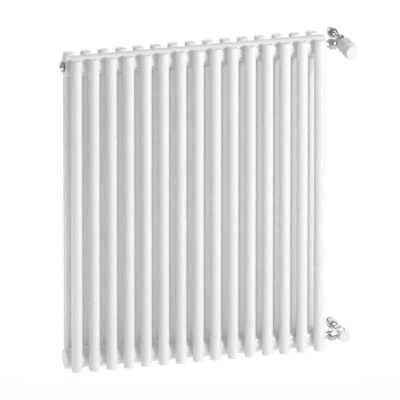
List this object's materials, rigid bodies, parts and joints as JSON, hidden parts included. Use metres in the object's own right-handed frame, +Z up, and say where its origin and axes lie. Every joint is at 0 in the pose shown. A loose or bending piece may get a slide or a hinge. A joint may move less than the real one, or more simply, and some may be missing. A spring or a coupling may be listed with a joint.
{
  "type": "radiator with valve",
  "caption": "Wall-hung tubular steel column radiator with a thermostatic angle valve, a lockshield angle valve and an air vent plug.",
  "frame": {"origin": "mid length on the axis of the top header, where the wall brackets carry the radiator", "axes": "+X along the headers to the valve side, +Y towards the wall, +Z up"},
  "size_m": [0.7539, 0.199, 0.817],
  "materials": {
    "enamelled_steel": "white gloss enamel",
    "chromed_brass": "polished chrome plate",
    "plain_brass": "machined",
    "stainless_steel": "turned",
    "white_abs": "fine satin moulding"
  },
  "bodies": {
    "radiator": {"column_front_01": "enamelled_steel", "column_rear_01": "enamelled_steel", "column_front_02": "enamelled_steel", "column_rear_02": "enamelled_steel", "column_front_03": "enamelled_steel", "column_rear_03": "enamelled_steel", "column_front_04": "enamelled_steel", "column_rear_04": "enamelled_steel", "column_front_05": "enamelled_steel", "column_rear_05": "enamelled_steel", "column_front_06": "enamelled_steel", "column_rear_06": "enamelled_steel", "column_front_07": "enamelled_steel", "column_rear_07": "enamelled_steel", "column_front_08": "enamelled_steel", "column_rear_08": "enamelled_steel", "column_front_09": "enamelled_steel", "column_rear_09": "enamelled_steel", "column_front_10": "enamelled_steel", "column_rear_10": "enamelled_steel", "column_front_11": "enamelled_steel", "column_rear_11": "enamelled_steel", "column_front_12": "enamelled_steel", "column_rear_12": "enamelled_steel", "column_front_13": "enamelled_steel", "column_rear_13": "enamelled_steel", "column_front_14": "enamelled_steel", "column_rear_14": "enamelled_steel", "column_front_15": "enamelled_steel", "column_rear_15": "enamelled_steel", "header_top": "enamelled_steel", "header_bottom": "enamelled_steel", "header_end_vent": "enamelled_steel", "header_end_blank": "enamelled_steel", "header_end_flow": "enamelled_steel", "header_end_return": "enamelled_steel", "vent_plug": "chromed_brass", "flow_tail_piece": "chromed_brass", "flow_union_nut": "chromed_brass", "thermostatic_valve_body": "chromed_brass", "flow_pipe_nut": "chromed_brass", "head_collar_nut": "chromed_brass", "return_tail_piece": "chromed_brass", "return_union_nut": "chromed_brass", "lockshield_valve_body": "chromed_brass", "return_pipe_nut": "chromed_brass", "flow_pipe_adapter": "chromed_brass", "return_pipe_adapter": "chromed_brass", "valve_bonnet": "plain_brass", "lockshield_bonnet": "plain_brass", "return_spring": "stainless_steel", "head_base": "white_abs"},
    "turning_handle": {"head_handle": "white_abs", "head_end_cap": "white_abs"},
    "sensor": {"sensor_capsule": "plain_brass"},
    "stem": {"valve_stem": "stainless_steel"},
    "bleed_screw_body": {"bleed_screw": "chromed_brass"},
    "spindle": {"lockshield_spindle": "plain_brass"},
    "regulating_cone": {"lockshield_cone": "plain_brass"},
    "cap": {"lockshield_cap": "white_abs"}
  },
  "joints": [
    {"name": "handle_turn", "type": "hinge", "parent": "radiator", "child": "turning_handle", "pos_m": [0.385, 0, 0], "axis": [0, 1, 0], "range_deg": [0, 290]},
    {"name": "sensor_slide", "type": "slide", "parent": "radiator", "child": "sensor", "axis": [0, 1, 0], "range_m": [0, 0.0025]},
    {"name": "stem_slide", "type": "slide", "parent": "radiator", "child": "stem", "axis": [0, 1, 0], "range_m": [0, 0.0025], "deforming": ["return_spring"]},
    {"name": "bleed_turn", "type": "hinge", "parent": "radiator", "child": "bleed_screw_body", "pos_m": [-0.34, 0, 0], "axis": [-1, 0, 0], "range_deg": [-360, 0]},
    {"name": "spindle_turn", "type": "hinge", "parent": "radiator", "child": "spindle", "pos_m": [0.385, 0, -0.765], "axis": [0, 1, 0], "range_deg": [0, 720]},
    {"name": "cone_slide", "type": "slide", "parent": "radiator", "child": "regulating_cone", "axis": [0, 1, 0], "range_m": [0, 0.002]},
    {"name": "cap_pull", "type": "slide", "parent": "radiator", "child": "cap", "axis": [0, -1, 0], "range_m": [0, 0.03]}
  ],
  "couplings": [
    {"joint": "sensor_slide", "follows": "handle_turn", "m_per_rad": 0.00049195},
    {"joint": "stem_slide", "follows": "handle_turn", "m_per_rad": 0.00049195},
    {"joint": "spindle_turn", "follows": "cone_slide", "rad_per_m": 6251.8}
  ]
}
